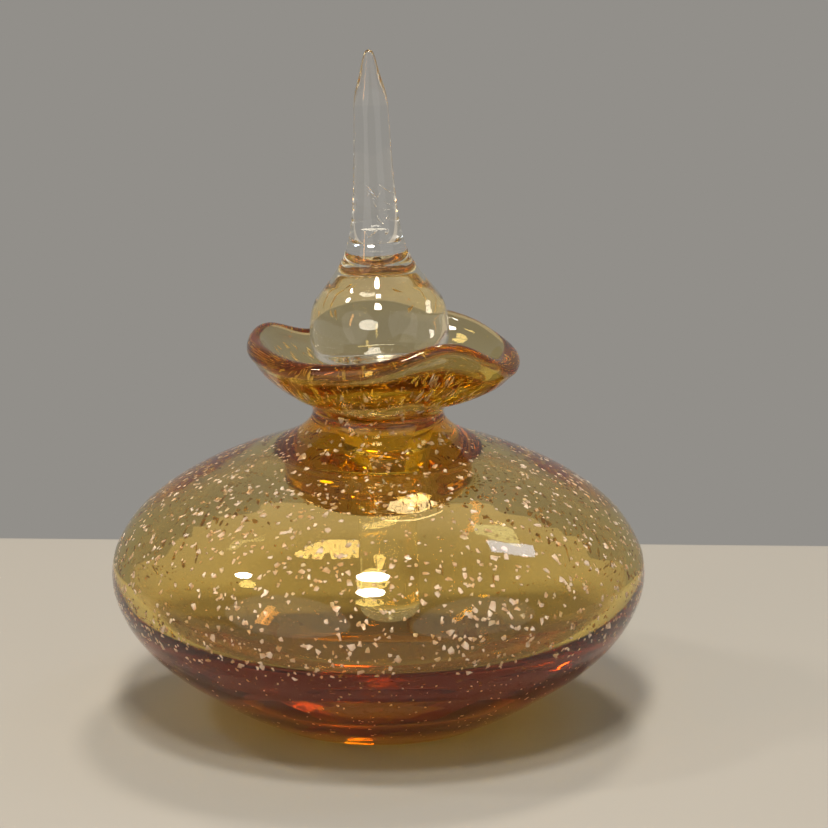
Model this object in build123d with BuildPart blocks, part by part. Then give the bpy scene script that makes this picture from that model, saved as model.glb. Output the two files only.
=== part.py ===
from build123d import *
from math import atan, cos, radians, sin, sqrt, tan
import os

# Blown amber perfume bottle with a solid clear glass stopper.
# Millimetres. +Z up, front is -Y, the flat foot of the bottle stands on Z = 0.

# ---------------------------------------------------------------- bottle, outside
foot_radius = 24.6  # flat, ground foot
belly_radius = 54.8  # widest, at belly_height
belly_height = 30.0
neck_radius = 13.3  # narrowest outside radius, where the lip is folded out
throat_height = 64.0  # top of the ground bore

# ---------------------------------------------------------------- bottle, inside
bore_mouth_radius = 7.3  # ground taper, wide end
bore_root_radius = 6.62  # ground taper, narrow end
bore_length = 14.0
throat_step = 0.35  # small ledge between the ground bore and the lip's funnel
cavity_radius = 50.9
floor_height = 12.8  # the foot is a heavy lens of solid glass
collar_depth = 22.4  # the neck's thick glass hangs down into the cavity, below the throat
relief_radius = 6.8  # bore below the ground taper
punty_radius = 19.0  # hollow ground out where the punty iron was broken off
punty_depth = 1.3

# ---------------------------------------------------------------- ruffled lip
rim_radius = 27.75  # to the outermost edge of the rolled rim
rim_shift = 1.1  # the rim was opened this far off centre, to the right
rim_height = 75.85  # mean height of the rim's middle
rim_thickness = 2.9
rim_slope = 38.0  # mean slope of the lip where it meets the rim
wave_power = 1.8  # how quickly the ruffle grows from the throat to the rim
# the ruffle as (lobes around, height, phase in degrees)
ruffle = [(1, 1.10, 258), (2, 1.15, 190), (3, 2.12, 177), (5, 0.84, 59), (7, 0.42, 326)]
sectors = 3
sector_start = 5.0
steps = 12  # radial sections in each sector

# ---------------------------------------------------------------- stopper
stopper_tilt = 2.06  # the stopper stands this far off plumb, to the left
throat_shift = 0.91  # its axis crosses the throat this far to the right
grind_gap = 0.04  # between the ground taper and the ground bore
rod_radius = 6.1
rod_reach = 44.6  # below the throat
shank_radius = 6.9  # between the ground taper and the ball
ball_seat = 11.3  # underside of the ball above the throat
ball_radius = 14.2
seam_height = 33.0  # edge of the seam between ball and spire, above the throat
seam_radius = 6.3
seam_sag = 1.2  # the seam bellies down into the ball
tip_height = 73.8  # above the throat

os.makedirs("parts", exist_ok=True)

taper = (bore_mouth_radius - bore_root_radius) / bore_length
tilt = radians(stopper_tilt)
stopper_plane = Plane(
    origin=(throat_shift, 0, throat_height),
    x_dir=(cos(tilt), 0, sin(tilt)),
    z_dir=(-sin(tilt), 0, cos(tilt)),
)


def wave(azimuth):
    return sum(h * cos(radians(n * azimuth - phase)) for n, h, phase in ruffle)


def rim_reach(azimuth):
    return rim_radius + rim_shift * cos(radians(azimuth))


def lip_point(azimuth, r, z):
    """Move a point of the mean section out to this azimuth's rim and up by its ruffle."""
    spread = (rim_reach(azimuth) - neck_radius) / (rim_radius - neck_radius)
    out = r if r < neck_radius else neck_radius + (r - neck_radius) * spread
    share = max(0.0, (r - 8.5) / (rim_radius - 8.5)) ** wave_power
    return out, z + wave(azimuth) * share


def lip_plane(azimuth):
    a = radians(azimuth)
    return Plane(origin=(0, 0, 0), x_dir=(cos(a), sin(a), 0), z_dir=(sin(a), -cos(a), 0))


under_side = [(14.6, 65.9), (16.8, 66.9), (19.3, 68.2), (22.0, 69.9), (24.5, 71.8)]
upper_side = [(22.8, 74.3), (19.4, 72.8), (16.0, 71.3), (12.6, 69.5), (9.7, 67.0)]

# ================================================================ the bottle
with BuildPart() as bottle_body:
    # heavy foot, squat belly, shoulder and neck, all one gather
    with BuildSketch(Plane.XZ) as outer:
        with BuildLine():
            wall = Spline(
                (foot_radius, 0),
                (27.3, 1.5),
                (31.9, 4.0),
                (38.1, 8.0),
                (45.0, 13.0),
                (50.7, 19.0),
                (53.9, 25.0),
                (belly_radius, belly_height),
                (53.8, 35.0),
                (50.0, 41.0),
                (44.2, 46.0),
                (37.7, 50.0),
                (30.2, 53.5),
                (23.0, 56.3),
                (17.4, 58.9),
                (14.2, 61.6),
                (neck_radius + 0.12, throat_height),
            )
            Line(wall @ 1, (0, throat_height))
            Line((0, throat_height), (0, 0))
            Line((0, 0), wall @ 0)
        make_face()
    revolve(axis=Axis.Z)

    # the blown cavity
    with BuildSketch(Plane.XZ) as inner:
        with BuildLine():
            collar_foot = throat_height - collar_depth
            hollow = Spline(
                (0, floor_height),
                (14.0, 13.2),
                (26.0, 14.6),
                (37.0, 17.5),
                (45.4, 21.4),
                (49.6, 25.6),
                (cavity_radius, 30.4),
                (49.5, 35.0),
                (45.2, 40.2),
                (38.2, 45.7),
                (32.4, 49.2),
                (27.4, 51.6),
                (24.0, 52.9),
                (20.9, 54.1),
                (19.3, 54.2),
                (18.8, 52.6),
                (19.1, 50.2),
                (18.8, 47.8),
                (17.3, 45.4),
                (14.8, 43.4),
                (11.8, 42.1),
                (9.0, collar_foot),
                tangents=[(1, 0), (-1, 0)],
            )
            Line(hollow @ 1, (0, collar_foot))
            Line((0, collar_foot), hollow @ 0)
        make_face()
    revolve(axis=Axis.Z, mode=Mode.SUBTRACT)

    # the bore is ground on the stopper's own axis
    with BuildSketch(stopper_plane.offset(1)):
        Circle(bore_mouth_radius + taper)
    with BuildSketch(stopper_plane.offset(-bore_length)):
        Circle(bore_root_radius)
    loft(mode=Mode.SUBTRACT)
    with BuildSketch(stopper_plane.offset(-bore_length)):
        Circle(relief_radius)
    extrude(amount=bore_length - collar_depth - 1.6, mode=Mode.SUBTRACT)

    # punty hollow in the foot
    punty_sphere = (punty_radius**2 + punty_depth**2) / (2 * punty_depth)
    with Locations((0, 0, punty_depth - punty_sphere)):
        Sphere(punty_sphere, mode=Mode.SUBTRACT)
bottle_body.part.label = "bottle_body"
export_step(bottle_body.part, "parts/bottle_body.step")

# ================================================================ the ruffled lip
# lofted around the neck through radial sections, one sector at a time
ledge_radius = bore_mouth_radius + throat_step + throat_shift
span = 360 / sectors
with BuildPart() as bottle_lip:
    for s in range(sectors):
        with BuildPart(mode=Mode.PRIVATE) as sector:
            for i in range(steps + 1):
                az = (s + i / steps) * span + sector_start
                lift = wave(az)
                slope = tan(radians(rim_slope)) + lift * wave_power / (rim_radius - 8.5)
                along = (cos(atan(slope)), sin(atan(slope)))
                rho = rim_thickness / 2
                rim_r = rim_reach(az) - rho
                rim_z = rim_height + lift
                low = (rim_r + rho * along[1], rim_z - rho * along[0])
                edge = (rim_r + rho * along[0], rim_z + rho * along[1])
                high = (rim_r - rho * along[1], rim_z + rho * along[0])
                with BuildSketch(lip_plane(az)):
                    with BuildLine():
                        Spline(
                            (neck_radius, throat_height),
                            *[lip_point(az, r, z) for r, z in under_side],
                            low,
                            tangents=[(0.1, 1), along],
                        )
                        ThreePointArc(low, edge, high)
                        Spline(
                            high,
                            *[lip_point(az, r, z) for r, z in upper_side],
                            (ledge_radius, throat_height),
                            tangents=[(-along[0], -along[1]), (0, -1)],
                        )
                        Line((ledge_radius, throat_height), (neck_radius, throat_height))
                    make_face()
            loft()
        add(sector.part)
bottle_lip.part.label = "bottle_lip"
export_step(bottle_lip.part, "parts/bottle_lip.step")

# ================================================================ the stopper
stopper_section = Plane(
    origin=stopper_plane.origin, x_dir=stopper_plane.x_dir, z_dir=(0, -1, 0)
)
stopper_axis = Axis(stopper_plane.origin, stopper_plane.z_dir)
seam_low = (0, seam_height - seam_sag)
seam_edge = (seam_radius, seam_height)
seam_sphere = (seam_radius**2 + seam_sag**2) / (2 * seam_sag)
seam_middle = (
    seam_radius / 2,
    seam_low[1] + seam_sphere - sqrt(seam_sphere**2 - seam_radius**2 / 4),
)
grind_over = 1.6  # the ground taper stands this far out of the bore

# ground taper and long rounded dabber rod
with BuildPart() as stopper_plug:
    with BuildSketch(stopper_section):
        with BuildLine():
            top = (bore_mouth_radius + taper * grind_over - grind_gap, grind_over)
            root = (bore_root_radius - taper - grind_gap, -bore_length - 1)
            rod_end = Polyline(
                (0, ball_seat),
                (shank_radius, ball_seat),
                (shank_radius, grind_over + 0.8),
                top,
                root,
                (rod_radius, root[1] - 1.2),
                (rod_radius, 4.2 - rod_reach),
            )
            Spline(
                rod_end @ 1,
                (4.6, 1.1 - rod_reach),
                (0, -rod_reach),
                tangents=[(0, -1), (-1, 0)],
            )
            Line((0, -rod_reach), (0, ball_seat))
        make_face()
    revolve(axis=stopper_axis)
stopper_plug.part.label = "stopper_plug"
export_step(stopper_plug.part, "parts/stopper_plug.step")

# solid ball, flat underneath, drawn up into a collar
with BuildPart() as stopper_ball:
    with BuildSketch(stopper_section):
        with BuildLine():
            side = Spline(
                (12.7, ball_seat),
                (13.45, ball_seat + 0.6),
                (14.0, 14.0),
                (ball_radius, 16.4),
                (13.75, 20.3),
                (12.95, 22.7),
                (11.55, 24.8),
                (9.85, 26.8),
                (8.4, 28.9),
                (7.25, 30.9),
                seam_edge,
            )
            ThreePointArc(seam_edge, seam_middle, seam_low)
            Line(seam_low, (0, ball_seat))
            Line((0, ball_seat), side @ 0)
        make_face()
    revolve(axis=stopper_axis)
stopper_ball.part.label = "stopper_ball"
export_step(stopper_ball.part, "parts/stopper_ball.step")

# drawn spire, joined hot to the ball's collar
with BuildPart() as stopper_spire:
    with BuildSketch(stopper_section):
        with BuildLine():
            ThreePointArc(seam_low, seam_middle, seam_edge)
            flank = Spline(
                seam_edge,
                (5.5, 35.7),
                (4.85, 39.0),
                (4.4, 43.0),
                (4.1, 47.5),
                (3.78, 53.5),
                (3.55, 59.5),
                (3.42, 62.6),
                (3.05, 65.3),
                (1.9, 69.4),
                (1.35, 71.7),
                (0.9, 73.1),
                (0, tip_height),
                tangents=[(-0.27, 1), (-1, 0.15)],
            )
            Line(flank @ 1, seam_low)
        make_face()
    revolve(axis=stopper_axis)
stopper_spire.part.label = "stopper_spire"
export_step(stopper_spire.part, "parts/stopper_spire.step")

for piece in (bottle_body, bottle_lip, stopper_plug, stopper_ball, stopper_spire):
    box = piece.part.bounding_box()
    print(piece.part.label, piece.part.is_valid, len(piece.part.solids()))
    print("   volume", round(piece.part.volume), "box", box.min, box.max)
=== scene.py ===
"""Hand-blown amber perfume bottle with a clear glass stopper, on a plain pale table top."""

import math
import random

import bpy
import numpy as np
from mathutils import Matrix, Vector


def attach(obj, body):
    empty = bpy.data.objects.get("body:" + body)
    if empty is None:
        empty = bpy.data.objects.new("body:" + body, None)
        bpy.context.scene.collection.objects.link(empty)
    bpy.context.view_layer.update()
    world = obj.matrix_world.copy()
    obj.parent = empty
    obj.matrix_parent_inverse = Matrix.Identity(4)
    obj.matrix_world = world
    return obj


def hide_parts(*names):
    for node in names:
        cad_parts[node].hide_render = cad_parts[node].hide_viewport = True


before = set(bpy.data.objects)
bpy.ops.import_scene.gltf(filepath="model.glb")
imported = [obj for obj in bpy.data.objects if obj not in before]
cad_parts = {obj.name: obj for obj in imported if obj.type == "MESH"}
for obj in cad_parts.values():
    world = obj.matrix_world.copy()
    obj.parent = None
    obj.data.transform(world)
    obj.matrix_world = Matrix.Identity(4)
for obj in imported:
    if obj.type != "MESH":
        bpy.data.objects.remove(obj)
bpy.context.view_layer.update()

MM = 0.001
random.seed(20261118)


# ---------------------------------------------------------------- helpers
def linear(code):
    """An sRGB hex value as the linear colour that shaders and lamps take."""
    parts = [int(code[i : i + 2], 16) / 255 for i in (1, 3, 5)]
    return tuple(c / 12.92 if c <= 0.04045 else ((c + 0.055) / 1.055) ** 2.4 for c in parts) + (1.0,)


def node(tree, kind, settings=None, **links):
    """Adds one node. Settings go on its properties or sockets, links join its sockets to outputs."""
    added = tree.nodes.new(kind)
    for key, value in (settings or {}).items():
        if hasattr(added, key) and not key[0].isupper():
            setattr(added, key, value)
        else:
            added.inputs[key].default_value = value
    for key, source in links.items():
        tree.links.new(source, added.inputs[key.replace("_", " ")])
    return added


def choose(*pieces):
    """Selects these pieces and nothing else, and makes the last one active."""
    bpy.ops.object.select_all(action="DESELECT")
    for piece in pieces:
        piece.select_set(True)
        bpy.context.view_layer.objects.active = piece


def smooth_chain(points, per_span):
    """Points on a smooth line through the given ones, evenly spread over each span."""
    p = np.array(points, float)
    t = np.concatenate([[0], np.cumsum(np.sqrt(np.hypot(*np.diff(p, axis=0).T)))])
    slope = np.zeros_like(p)
    slope[1:-1] = (p[2:] - p[:-2]) / (t[2:] - t[:-2])[:, None]
    slope[0] = (p[1] - p[0]) / (t[1] - t[0])
    slope[-1] = (p[-1] - p[-2]) / (t[-1] - t[-2])
    line = []
    for i in range(len(p) - 1):
        span = t[i + 1] - t[i]
        for s in np.linspace(0, 1, per_span, endpoint=False):
            here = (2 * s**3 - 3 * s**2 + 1) * p[i] + (s**3 - 2 * s**2 + s) * span * slope[i]
            there = (3 * s**2 - 2 * s**3) * p[i + 1] + (s**3 - s**2) * span * slope[i + 1]
            line.append(here + there)
    line.append(p[-1])
    return [tuple(x) for x in line]


WELD = 0.004 * MM


def lathe(name, profile, steps):
    """Draws a section by extruding one point along it, and spins it about +Z. Both ends lie on the axis."""
    bpy.ops.object.select_all(action="DESELECT")
    bpy.ops.mesh.primitive_plane_add(size=MM, location=(0, 0, 0))
    piece = bpy.context.object
    piece.name = name
    piece.data.name = name
    bpy.ops.object.mode_set(mode="EDIT")
    bpy.ops.mesh.select_all(action="SELECT")
    bpy.ops.mesh.merge(type="CENTER")
    here = Vector((profile[0][0], 0, profile[0][1])) * MM
    bpy.ops.transform.translate(value=here)
    for r, z in profile[1:]:
        there = Vector((r, 0, z)) * MM
        bpy.ops.mesh.extrude_region_move(TRANSFORM_OT_translate={"value": there - here})
        here = there
    bpy.ops.mesh.select_all(action="SELECT")
    bpy.ops.mesh.spin(steps=steps, angle=2 * math.pi, center=(0, 0, 0), axis=(0, 0, 1))
    bpy.ops.mesh.select_all(action="SELECT")
    bpy.ops.mesh.remove_doubles(threshold=WELD)
    bpy.ops.mesh.normals_make_consistent(inside=False)
    bpy.ops.object.mode_set(mode="OBJECT")
    bpy.ops.object.shade_smooth()
    return piece


def polar(v):
    """A vertex's radius and height in mm, and its azimuth."""
    return math.hypot(v.co.x, v.co.y) / MM, v.co.z / MM, math.atan2(v.co.y, v.co.x)


def limited(x):
    return max(0.0, min(1.0, x))


# ---------------------------------------------------------------- sizes, mm
THROAT = 64.0
NECK = 13.3
# the stopper's axis leans, and crosses the throat's plane off centre
TILT = math.radians(2.06)
THROAT_SHIFT = 0.91
# the rim's bead: reach from the axis, shift to the right, height, thickness, and the lip's slope in degrees
RIM = 27.75
RIM_SHIFT = 1.1
RIM_MID = 76.7
RIM_THICK = 4.1
RIM_SLOPE = 36.0
# the lip's wave: how many times round, how high, and where its crest is, in degrees
RUFFLE = [(1, 1.10, 258), (2, 1.15, 190), (3, 2.12, 177), (5, 0.84, 59), (7, 0.42, 326)]
WAVE_POWER = 1.8
WAVE_START = 8.5
# the bore's slant: it ends at this radius, over this width, above this height, and fades above the throat
BORE_REACH = 10.5
BORE_FADE = 2.6
BORE_LOW = 40.0
BORE_TOP_FADE = 5.0

# radius and height down each line
FOOT = [(0, 1.3), (7, 1.12), (13, 0.69), (19, 0), (21, 0), (23.2, 0)]
SIDE = [
    (23.2, 0), (24.6, 0.12), (27.3, 1.5), (31.9, 4.0), (38.1, 8.0), (45.0, 13.0), (50.7, 19.0), (53.86, 25.0),
    (54.75, 30.0), (53.77, 35.0), (50.0, 41.0), (44.2, 46.0), (37.7, 50.0), (30.2, 53.5), (23.0, 56.3),
    (17.4, 58.9), (14.2, 61.6), (13.35, 64.0), (14.6, 65.9), (16.8, 66.9), (19.3, 68.2), (22.0, 70.0),
    (24.5, 72.1),
]
FUNNEL = [(22.4, 75.5), (19.4, 73.5), (16.0, 71.6), (12.6, 69.6), (9.7, 67.0), (8.2, 64.9), (7.5, 64.15)]
BORE = [(7.3, 63.6), (6.96, 57.0), (6.66, 51.4), (6.8, 50.0), (6.8, 43.2), (6.9, 42.2)]
COLLAR = [
    (7.6, 41.6), (9.0, 41.6), (11.8, 42.1), (14.8, 43.4), (17.3, 45.4), (18.8, 47.8), (19.1, 50.2),
    (18.8, 52.6), (19.3, 54.2), (20.9, 54.1),
]
CAVITY = [
    (24.0, 52.9), (27.4, 51.6), (32.4, 49.2), (38.2, 45.7), (45.2, 40.2), (49.5, 35.0), (50.9, 30.4),
    (49.6, 25.6), (45.4, 21.4), (37.0, 17.5), (26.0, 14.6), (14.0, 13.2), (6.0, 12.8), (0, 12.8),
]
SPAN_POINTS = 7


# ---------------------------------------------------------------- the bottle
def bottle_section():
    """The whole wall as one line: foot, side, rolled rim, funnel, bore, collar, cavity and floor."""
    half = RIM_THICK / 2
    rim = []
    for turn in np.linspace(-90, 90, 9):
        angle = math.radians(RIM_SLOPE + turn)
        rim.append((RIM - half + half * math.cos(angle), RIM_MID + half * math.sin(angle)))
    side = smooth_chain(SIDE + [rim[0]], SPAN_POINTS)
    back = smooth_chain([rim[-1]] + FUNNEL + BORE + COLLAR + CAVITY, SPAN_POINTS)
    return FOOT + side[1:-1] + rim + back[1:]


def wave(azimuth):
    """How far the rim rises at an azimuth, in mm."""
    return sum(high * math.cos(n * azimuth - math.radians(crest)) for n, high, crest in RUFFLE)


def ruffle(piece):
    """Pulls the lip up and down and off centre, less and less towards the throat."""
    for v in piece.data.vertices:
        r, z, a = polar(v)
        if z > THROAT:
            out = RIM_SHIFT * math.cos(a) * max(0.0, (r - NECK) / (RIM - NECK))
            share = max(0.0, (r - WAVE_START) / (RIM - WAVE_START)) ** WAVE_POWER
            v.co.x = (r + out) * math.cos(a) * MM
            v.co.y = (r + out) * math.sin(a) * MM
            v.co.z += wave(a) * share * MM


def tilt_bore(piece):
    """Slants the bore onto the stopper's own axis, which crosses the throat off centre."""
    for v in piece.data.vertices:
        r, z, _ = polar(v)
        if z > BORE_LOW:
            inner = limited((BORE_REACH - r) / BORE_FADE)
            below = 1 - limited((z - THROAT) / BORE_TOP_FADE)
            v.co.x += (THROAT_SHIFT - (z - THROAT) * math.tan(TILT)) * inner * below * MM


# the uneven part of the cavity's skin lies between these radii and these heights
UNEVEN_INNER = 20.5
UNEVEN_OUTER = 51.0
UNEVEN_LOW = 13.5
UNEVEN_HIGH = 52.5
UNEVEN_TOP = 54.0
SKIN_GAP = 0.6
# rings about 7 mm apart that wander as they go round, and a slow swell three times round
RING_DEEP = 0.035
RING_PACE = 0.9
RING_WANDER = 1.2
RING_START = 0.4
SWELL_DEEP = 0.05
SWELL_ROUND = 3
SWELL_TWIST = 0.21


def cavity_reach(z):
    """Radius that the cavity's skin stays inside at a height, from the points on either side of it."""
    side = [p for p in COLLAR + CAVITY if p[0] > UNEVEN_INNER and p[1] < UNEVEN_TOP]
    for (r0, z0), (r1, z1) in zip(side, side[1:]):
        if min(z0, z1) <= z <= max(z0, z1):
            return max(r0, r1)
    return 0.0


def blow_marks(piece):
    """Makes the cavity's skin uneven: soft rings left by turning the pipe, and a slow swell around them."""
    for v in piece.data.vertices:
        r, z, a = polar(v)
        inside = UNEVEN_INNER < r < UNEVEN_OUTER and UNEVEN_LOW < z < UNEVEN_HIGH
        if inside and r <= cavity_reach(z) + SKIN_GAP:
            rings = RING_DEEP * math.sin(RING_PACE * z + RING_WANDER * math.sin(a + RING_START))
            swell = SWELL_DEEP * math.sin(SWELL_ROUND * a + SWELL_TWIST * z)
            v.co.x *= 1 + (rings + swell) / r
            v.co.y *= 1 + (rings + swell) / r


bottle = lathe("blown_bottle", bottle_section(), 192)
blow_marks(bottle)
tilt_bore(bottle)
ruffle(bottle)
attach(bottle, "bottle")
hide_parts("bottle_body", "bottle_lip")

# ---------------------------------------------------------------- flecks in the bottle's skin
# sizes in mm, and how many flecks lie on a square millimetre
FLECK = 0.46
FLECK_RAGGED = 0.19
FLECK_FLAT = 0.34
FLECK_THICK = 0.8
FLECK_SHAPES = 7
FOOT_CROWD = 0.07
BELLY_CROWD = 0.12
BAND_CROWD = 0.05
BAND_MID = 26.0
BAND_WIDE = 3.0
THICK_BASE_TOP = 21.0
CROWD_RISE = 2.5
SEEN_FROM = 22.5
LIP_FROM = 67.0
SKIN_FROM = 3.0
PROUD = 0.02
PROUD_SHARE = 0.8
DEPTH = (0.2, 1.2)
CENTRE_DEPTH = 0.12
SIZE_MIDDLE = 0.04
SIZE_SPREAD = 0.3
FOOT_SIZE = 0.5
# on the lip, how wide and long a fleck is drawn out, and how far it may stray from the meridian, in radians
LIP_WIDE = 0.4
LIP_LONG = 2.0
LIP_STRAY = 0.3
NARROWEST = 0.6


def flake(name, seed):
    """One ragged scale about 1 mm across, lying flat, as its points and faces."""
    bpy.ops.object.select_all(action="DESELECT")
    bpy.ops.mesh.primitive_ico_sphere_add(subdivisions=1, radius=FLECK * MM)
    chip = bpy.context.object
    chip.name = name
    bpy.ops.object.mode_set(mode="EDIT")
    bpy.ops.mesh.select_all(action="SELECT")
    bpy.ops.transform.vertex_random(offset=FLECK_RAGGED * MM, uniform=1.0, seed=seed)
    bpy.ops.transform.resize(value=(1, 1, FLECK_FLAT))
    bpy.ops.mesh.normals_make_consistent(inside=False)
    bpy.ops.object.mode_set(mode="OBJECT")
    points = [v.co.copy() for v in chip.data.vertices]
    sides = [tuple(p.vertices) for p in chip.data.polygons]
    bpy.data.objects.remove(chip)
    return points, sides


def crowd(z):
    """Flecks per square millimetre at a height: few in the foot, most just above it."""
    belly = BELLY_CROWD * limited((z - THICK_BASE_TOP) / CROWD_RISE)
    band = BAND_CROWD * math.exp(-(((z - BAND_MID) / BAND_WIDE) ** 2))
    return FOOT_CROWD + belly + band


def scatter(section, chips):
    """Sows chips over the spun section, some just breaking the skin and some deeper in the glass."""
    p = np.array(section)
    step = np.diff(p, axis=0)
    length = np.hypot(step[:, 0], step[:, 1])
    middle = (p[1:] + p[:-1]) / 2
    share = 2 * math.pi * middle[:, 0] * length * np.array([crowd(z) for z in middle[:, 1]])
    verts = []
    faces = []
    for _ in range(int(share.sum())):
        i = random.choices(range(len(share)), weights=share)[0]
        r, z = p[i] + step[i] * random.random()
        a = random.uniform(-math.pi, math.pi)
        tangent = Vector((step[i][0] * math.cos(a), step[i][0] * math.sin(a), step[i][1])).normalized()
        around = Vector((-math.sin(a), math.cos(a), 0))
        normal = around.cross(tangent).normalized()
        if normal.dot(Vector((math.cos(a), math.sin(a), 0.2))) < 0:
            normal = -normal
        breaks_skin = random.random() < PROUD_SHARE and z > SEEN_FROM
        deep = -PROUD if breaks_skin else random.uniform(*DEPTH)
        size = random.lognormvariate(SIZE_MIDDLE, SIZE_SPREAD) * (1.0 if z > SEEN_FROM else FOOT_SIZE)
        # on the lip the folding has drawn them out towards the rim
        if z > LIP_FROM:
            wide, long = LIP_WIDE, LIP_LONG
            spin = random.uniform(-LIP_STRAY, LIP_STRAY)
        else:
            wide, long = random.uniform(NARROWEST, 1.0), 1.0
            spin = random.uniform(0, 6.28)
        place = Matrix((around, normal.cross(around), normal)).transposed().to_4x4()
        scale = Matrix.Diagonal((size * wide, size * long, FLECK_THICK, 1))
        centre = Vector((r * math.cos(a), r * math.sin(a), z)) - normal * (deep + CENTRE_DEPTH)
        points, sides = random.choice(chips)
        whole = Matrix.Translation(centre * MM) @ Matrix.Rotation(spin, 4, normal) @ place @ scale
        first = len(verts)
        verts += [tuple(whole @ c) for c in points]
        faces += [tuple(first + k for k in side) for side in sides]
    mesh = bpy.data.meshes.new("pale_flecks")
    mesh.from_pydata(verts, [], faces)
    piece = bpy.data.objects.new("pale_flecks", mesh)
    bpy.context.scene.collection.objects.link(piece)
    return piece


skin = [p for p in smooth_chain(SIDE, SPAN_POINTS) if p[1] > SKIN_FROM]
flecks = scatter(skin, [flake("chip", seed) for seed in range(1, FLECK_SHAPES + 1)])
ruffle(flecks)
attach(flecks, "bottle")

# ---------------------------------------------------------------- the stopper
# radius and height above the throat, mm
ROD = [
    (0, -44.6), (2.4, -44.35), (4.6, -43.4), (5.75, -41.9), (6.1, -40.0), (6.1, -30), (6.1, -20),
    (6.12, -16.6),
]
TAPER = [
    (6.52, -15.0), (6.94, -6.0), (7.33, 1.6), (6.95, 2.4), (6.9, 5.0), (6.95, 10.2), (7.4, 11.1), (8.4, 11.3),
]
BALL = [
    (12.4, 11.3), (12.7, 11.34), (13.45, 11.9), (14.0, 14.0), (14.2, 16.4), (13.75, 20.3), (12.95, 22.7),
    (11.55, 24.8), (9.85, 26.8), (8.4, 28.9), (7.25, 30.9), (6.3, 33.0),
]
SPIRE = [
    (5.5, 35.7), (4.85, 39.0), (4.4, 43.0), (4.1, 47.5), (3.78, 53.5), (3.55, 59.5), (3.42, 62.6),
    (3.05, 65.3), (1.9, 69.4), (1.35, 71.7), (0.9, 73.1), (0.45, 73.66), (0, 73.8),
]
# the seam's height and radius, how far it bellies down, and the air left in it
SEAM_Z = 33.0
SEAM_EDGE = 6.3
SEAM_R = 5.9
SEAM_SAG = 1.2
SEAM_HALF_AIR = 0.03
SEAM_LIP = 0.005
SEAM_RINGS = 12
BUBBLES = 14
BUBBLE = 0.5

stopper = lathe("stopper_glass", smooth_chain(ROD + TAPER + BALL + SPIRE, 6), 128)


def seam_film():
    """A hair-thin pocket of air where the spire was stuck onto the ball."""
    sphere = (SEAM_EDGE**2 + SEAM_SAG**2) / (2 * SEAM_SAG)
    under = []
    over = []
    for k in range(SEAM_RINGS + 1):
        r = SEAM_R * k / SEAM_RINGS
        z = SEAM_Z - SEAM_SAG + sphere - math.sqrt(sphere**2 - r**2)
        air = SEAM_HALF_AIR * (1 - (r / SEAM_R) ** 2)
        under.append((r, z - air - SEAM_LIP * (r < SEAM_R)))
        over.append((r, z + air))
    return lathe("seam_film", under + over[-2::-1], 64)


def air_seed(r, azimuth, z, wide, long, lean):
    """A tiny stretched bubble left in the glass."""
    bpy.ops.object.select_all(action="DESELECT")
    bpy.ops.mesh.primitive_ico_sphere_add(subdivisions=2, radius=BUBBLE * MM)
    bubble = bpy.context.object
    at = Vector((r * math.cos(azimuth), r * math.sin(azimuth), z)) * MM
    shape = Matrix.Rotation(lean, 4, "Y") @ Matrix.Diagonal((wide, wide, long, 1))
    bubble.data.transform(Matrix.Translation(at) @ shape)
    return bubble


pockets = [seam_film()]
for _ in range(BUBBLES):
    up = random.uniform(34.5, 46.0)
    out = random.uniform(0.5, 3.2)
    azimuth = random.uniform(-3.1, 3.1)
    wide = random.uniform(0.16, 0.4)
    long = random.uniform(0.5, 2.6)
    lean = random.uniform(-0.9, 0.9)
    pockets.append(air_seed(out, azimuth, up, wide, long, lean))
# a pocket of air faces inwards, out of the glass around it
for pocket in pockets:
    choose(pocket)
    bpy.ops.object.mode_set(mode="EDIT")
    bpy.ops.mesh.select_all(action="SELECT")
    bpy.ops.mesh.normals_make_consistent(inside=True)
    bpy.ops.object.mode_set(mode="OBJECT")
    bpy.ops.object.shade_smooth()
choose(*pockets, stopper)
bpy.ops.object.join()
seat = Matrix.Translation(Vector((THROAT_SHIFT, 0, THROAT)) * MM)
stopper.data.transform(seat @ Matrix.Rotation(-TILT, 4, "Y"))
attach(stopper, "stopper")
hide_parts("stopper_plug", "stopper_ball", "stopper_spire")


# ---------------------------------------------------------------- materials
def blank(name):
    """A new material with an empty tree."""
    made = bpy.data.materials.new(name)
    made.use_nodes = True
    made.node_tree.nodes.clear()
    return made


def melt(material, roughness, skin_tint, absorbed, density):
    """Glass: a clear fire-polished skin with an IOR of 1.5, coloured by its depth as real glass is."""
    tree = material.node_tree
    shell = node(tree, "ShaderNodeBsdfPrincipled", {
        "Base Color": skin_tint, "Roughness": roughness, "IOR": 1.5, "Transmission Weight": 1.0,
    })
    tint = node(tree, "ShaderNodeVolumeAbsorption", {"Color": absorbed, "Density": density})
    node(tree, "ShaderNodeOutputMaterial", Surface=shell.outputs[0], Volume=tint.outputs[0])
    return shell


# soda glass, amber, blown and fire-polished: thin walls look straw-coloured and the thick base and collar
# look deep brown, because the colour grows with depth; the lip's skin darkens towards the rim, partly a smoky
# fume stain and partly painted shade standing in for the dark surroundings the lip mirrors
# heights over which the lip's skin darkens: partly a smoky fume stain, partly painted shade
FUME_SHADE_FROM = 66.0
FUME_SHADE_FULL = 77.0
amber = blank("soda_glass_amber_fire_polished")
shell = melt(amber, 0.02, linear("#fdf6f9"), linear("#f7e900"), 165.0)
tree = amber.node_tree
where = node(tree, "ShaderNodeTexCoord")
height = node(tree, "ShaderNodeSeparateXYZ", Vector=where.outputs["Object"])
reach = {"From Min": FUME_SHADE_FROM * MM, "From Max": FUME_SHADE_FULL * MM}
fume_and_shade = node(tree, "ShaderNodeMapRange", reach, Value=height.outputs["Z"])
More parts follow.
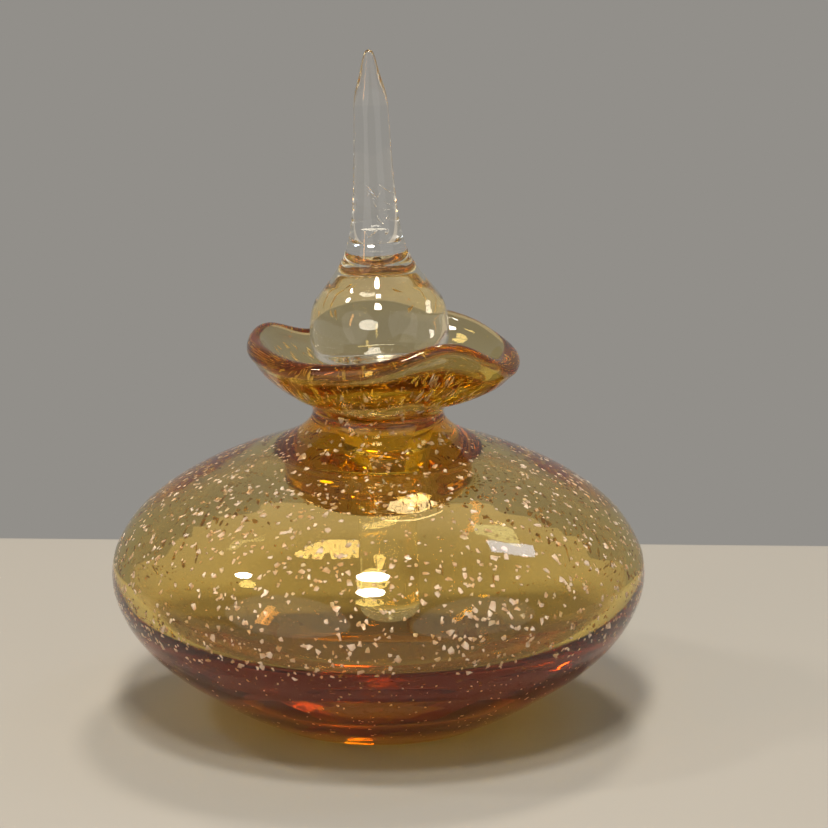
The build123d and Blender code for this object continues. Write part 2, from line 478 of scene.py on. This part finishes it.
# the darker colour mixed in on the lip is partly a fume stain and partly painted shade
skin_tint = node(tree, "ShaderNodeMix", {"data_type": "RGBA"}, Factor=fume_and_shade.outputs[0])
skin_tint.inputs[6].default_value = linear("#fdf6f9")
skin_tint.inputs[7].default_value = linear("#e3dad8")
tree.links.new(skin_tint.outputs[2], shell.inputs["Base Color"])
bottle.data.materials.clear()
bottle.data.materials.append(amber)

# clear crystal, drawn hot and fire-polished: nearly colourless, with a straw cast where it is thick
clear = blank("crystal_clear_fire_polished")
melt(clear, 0.01, linear("#ffffff"), linear("#f8f1cb"), 10.0)
stopper.data.materials.clear()
stopper.data.materials.append(clear)

# mica scales cased in the glass: pale and leaf-like, they scatter light, and are warmer where they are
# thicker; the patches of warmer scales are 2.5 mm across
MOTTLE = 2.5
mica = bpy.data.materials.new("mica_scale_cased")
mica.use_nodes = True
tree = mica.node_tree
shell = tree.nodes["Principled BSDF"]
where = node(tree, "ShaderNodeTexCoord")
grain = {"Scale": 1 / (MOTTLE * MM), "Detail": 1.0}
mottle = node(tree, "ShaderNodeTexNoise", grain, Vector=where.outputs["Object"])
tone = node(tree, "ShaderNodeValToRGB", Fac=mottle.outputs[0])
for stop, position, colour in zip(tone.color_ramp.elements, (0.35, 0.6), ("#d9b47c", "#fbeedb")):
    stop.position = position
    stop.color = linear(colour)
tree.links.new(tone.outputs[0], shell.inputs["Base Color"])
shell.inputs["Roughness"].default_value = 0.35
flecks.data.materials.append(mica)

# ---------------------------------------------------------------- stage, light, camera
TABLE_PLACE = (0, -0.0785, -0.0201)
TABLE_TURN = math.radians(-2.5)
TABLE_SIZE = (1.2, 0.425, 0.04)
TABLE_EDGE = 12.0
bpy.ops.object.select_all(action="DESELECT")
bpy.ops.mesh.primitive_cube_add(size=1, location=TABLE_PLACE, rotation=(0, 0, TABLE_TURN))
table = bpy.context.object
table.name = "table_top"
table.scale = TABLE_SIZE
bpy.ops.object.transform_apply(location=True, rotation=True, scale=True)
bevel = table.modifiers.new("rounded", "BEVEL")
bevel.width = TABLE_EDGE * MM
bevel.segments = 6
bpy.ops.object.modifier_apply(modifier="rounded")
bpy.ops.object.shade_smooth_by_angle(angle=math.radians(30))
# board, painted matt: it spreads soft light back under the glass without a mirror image
board = bpy.data.materials.new("painted_board_matt")
board.use_nodes = True
shell = board.node_tree.nodes["Principled BSDF"]
shell.inputs["Base Color"].default_value = linear("#8c8a86")
shell.inputs["Roughness"].default_value = 0.8
table.data.materials.append(board)

LIT = Vector((0, 0, 0.05))


def softbox(name, place, wide, tall, power, colour):
    """An area lamp turned to the bottle, round where no second side is given."""
    light = bpy.data.lights.new(name, "AREA")
    light.size = wide
    if tall:
        light.shape = "RECTANGLE"
        light.size_y = tall
    else:
        light.shape = "DISK"
    light.energy = power
    light.color = linear(colour)[:3]
    lamp = bpy.data.objects.new(name, light)
    bpy.context.scene.collection.objects.link(lamp)
    lamp.location = place
    lamp.rotation_euler = (LIT - Vector(place)).to_track_quat("-Z", "Y").to_euler()


# name, place and sides in metres, watts, colour
LAMPS = [
    ("ceiling_lamp_near", (-0.03, -0.29, 1.1), 0.19, None, 8, "#fff6e8"),
    ("ceiling_lamp_far", (-0.06, -0.68, 1.1), 0.22, None, 9, "#fff3dc"),
    ("left_lamp", (-0.93, -0.085, 1.1), 0.16, None, 4, "#fff4e6"),
    ("right_window", (0.7, 0.32, 1.1), 0.14, 0.3, 1, "#cfe0ff"),
    ("back_lamp", (0.12, 0.5, 1.0), 0.2, None, 6, "#fff1dd"),
    ("warm_strip", (-0.75, -0.62, 0.42), 0.07, 0.45, 1, "#ffb15c"),
    ("fill_left", (-0.85, -1.0, 0.5), 1.4, None, 4, "#fff8ee"),
    ("fill_right", (0.9, -1.0, 0.45), 1.4, None, 3, "#fbf8f4"),
]
for lamp_row in LAMPS:
    softbox(*lamp_row)
world = bpy.data.worlds.new("studio")
bpy.context.scene.world = world
world.use_nodes = True
world.node_tree.nodes["Background"].inputs[0].default_value = linear("#928f8a")
world.node_tree.nodes["Background"].inputs[1].default_value = 1.0

# the camera's height angle as seen from the belly, its distance, and where it aims
ELEVATION = math.radians(16.5)
DISTANCE = 0.8
BELLY_HEIGHT = 30.0
AIM_DOWN = math.radians(14.22266)
AIM_RIGHT = math.radians(0.54636)
SENSOR = 36
LENS = 168.69565
camera_data = bpy.data.cameras.new("camera")
camera_data.sensor_width = SENSOR
camera_data.lens = LENS
camera_data.clip_start = 0.01
camera_data.clip_end = 10
camera = bpy.data.objects.new("camera", camera_data)
bpy.context.scene.collection.objects.link(camera)
back = -DISTANCE * math.cos(ELEVATION)
camera.location = (0, back, BELLY_HEIGHT * MM + DISTANCE * math.sin(ELEVATION))
camera.rotation_euler = (math.pi / 2 - AIM_DOWN, 0, -AIM_RIGHT)
bpy.context.scene.camera = camera
bpy.context.scene.view_settings.view_transform = "Standard"
# light has to pass many skins of glass before it reaches the table
bpy.context.scene.cycles.max_bounces = 40
bpy.context.scene.cycles.transmission_bounces = 40
bpy.context.scene.cycles.glossy_bounces = 20
